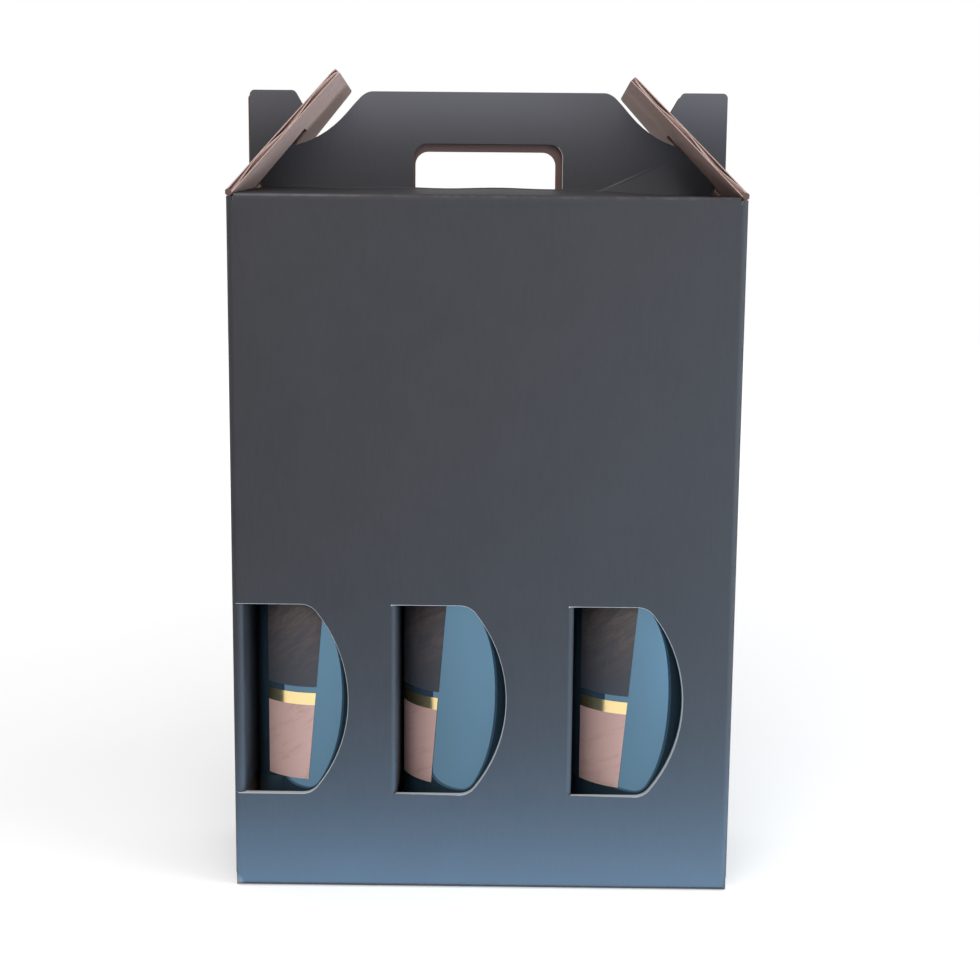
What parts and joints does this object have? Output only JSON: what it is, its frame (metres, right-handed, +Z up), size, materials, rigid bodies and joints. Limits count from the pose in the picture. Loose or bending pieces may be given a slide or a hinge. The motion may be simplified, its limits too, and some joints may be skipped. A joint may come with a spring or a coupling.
{
  "type": "wine bottle carry box",
  "caption": "Folded corrugated carry box for wine bottles, with D-shaped windows, a double-leaf handle and slotted side flaps.",
  "frame": {"origin": "middle of the footprint, on the surface that the box stands on", "axes": "+Z up, -Y out of the windowed front, +X to the right seen from the front"},
  "size_m": [0.26, 0.084, 0.4226],
  "materials": {
    "printed_board": "matte",
    "dark_glass": "gloss",
    "capsule_foil": "satin",
    "upper_label_paper": "matte",
    "lower_label_paper": "matte"
  },
  "bodies": {
    "box": {"carton": "printed_board", "left_bottle": "dark_glass", "left_capsule": "capsule_foil", "left_upper_label": "upper_label_paper", "left_lower_label": "lower_label_paper", "middle_bottle": "dark_glass", "middle_capsule": "capsule_foil", "middle_upper_label": "upper_label_paper", "middle_lower_label": "lower_label_paper", "right_bottle": "dark_glass", "right_capsule": "capsule_foil", "right_upper_label": "upper_label_paper", "right_lower_label": "lower_label_paper"},
    "left_flap": {"left_flap": "printed_board"},
    "right_flap": {"right_flap": "printed_board"}
  },
  "joints": [
    {"name": "left_flap_fold", "type": "hinge", "parent": "box", "child": "left_flap", "pos_m": [-0.1285, 0, 0.3605], "axis": [0, -1, 0], "range_deg": [-7, 131]},
    {"name": "right_flap_fold", "type": "hinge", "parent": "box", "child": "right_flap", "pos_m": [0.1285, 0, 0.3605], "axis": [0, 1, 0], "range_deg": [-4, 134]}
  ]
}
